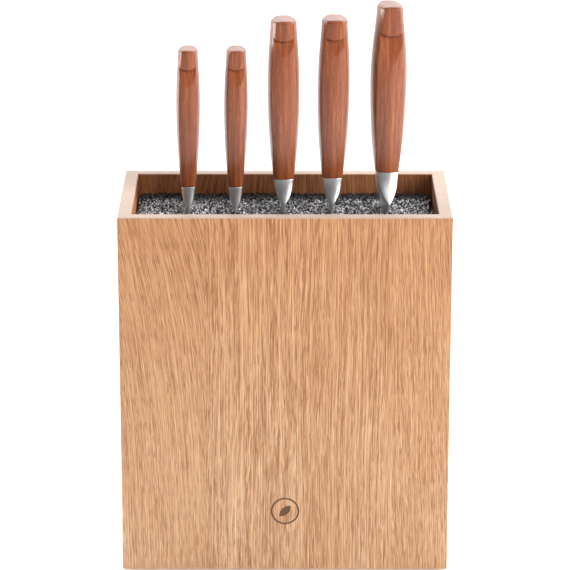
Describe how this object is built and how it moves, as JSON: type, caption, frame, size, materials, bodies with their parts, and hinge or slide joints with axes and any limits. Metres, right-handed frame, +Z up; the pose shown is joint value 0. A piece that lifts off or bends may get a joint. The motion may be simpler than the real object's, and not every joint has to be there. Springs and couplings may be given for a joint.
{
  "type": "knife block with knives",
  "caption": "Tall rectangular oak knife block with a recessed bristle insert that holds forged kitchen knives with wooden handles upright.",
  "frame": {"origin": "centre of the block's footprint on the worktop, at the underside of the feet", "axes": "+Z up along the knives, -Y out of the front panel with the engraved mark, +X to the right seen from the front"},
  "size_m": [0.22, 0.116, 0.3793],
  "materials": {
    "oak": "oiled solid oak, edge-glued staves",
    "base_board": "oiled oak board",
    "foot_rubber": "soft matt rubber",
    "tray_plastic": "moulded matt plastic",
    "bristle_plastic": "upright charcoal plastic bristles",
    "knife_steel": "satin ground steel",
    "handle_wood": "satin reddish-brown hardwood"
  },
  "bodies": {
    "block": {"front_panel": "oak", "back_panel": "oak", "left_panel": "oak", "right_panel": "oak", "base_panel": "base_board", "foot_front_left": "foot_rubber", "foot_front_right": "foot_rubber", "foot_back_left": "foot_rubber", "foot_back_right": "foot_rubber"},
    "insert": {"bristle_tray": "tray_plastic", "bristle_bundle_1": "bristle_plastic", "bristle_bundle_2": "bristle_plastic", "bristle_bundle_3": "bristle_plastic", "bristle_bundle_4": "bristle_plastic", "bristle_bundle_5": "bristle_plastic", "bristle_bundle_6": "bristle_plastic", "bristles_front": "bristle_plastic", "bristles_rear": "bristle_plastic", "bristles_under": "bristle_plastic"},
    "paring_knife": {"paring_knife_blade": "knife_steel", "paring_knife_handle": "handle_wood"},
    "utility_knife": {"utility_knife_blade": "knife_steel", "utility_knife_handle": "handle_wood"},
    "slicing_knife": {"slicing_knife_blade": "knife_steel", "slicing_knife_handle": "handle_wood"},
    "bread_knife": {"bread_knife_blade": "knife_steel", "bread_knife_handle": "handle_wood"},
    "chefs_knife": {"chefs_knife_blade": "knife_steel", "chefs_knife_handle": "handle_wood"}
  },
  "joints": [
    {"name": "insert_lift", "type": "slide", "parent": "block", "child": "insert", "axis": [0, 0, 1], "range_m": [0, 0.245]},
    {"name": "paring_knife_draw", "type": "slide", "parent": "insert", "child": "paring_knife", "axis": [0.0061, 0.0001, 1], "range_m": [0, 0.12]},
    {"name": "utility_knife_draw", "type": "slide", "parent": "insert", "child": "utility_knife", "axis": [0.0105, 0.0004, 0.9999], "range_m": [0, 0.15]},
    {"name": "slicing_knife_draw", "type": "slide", "parent": "insert", "child": "slicing_knife", "axis": [0, 0, 1], "range_m": [0, 0.22]},
    {"name": "bread_knife_draw", "type": "slide", "parent": "insert", "child": "bread_knife", "axis": [0.0122, 0.0003, 0.9999], "range_m": [0, 0.22]},
    {"name": "chefs_knife_draw", "type": "slide", "parent": "insert", "child": "chefs_knife", "axis": [0.0148, 0.0016, 0.9999], "range_m": [0, 0.224]}
  ]
}
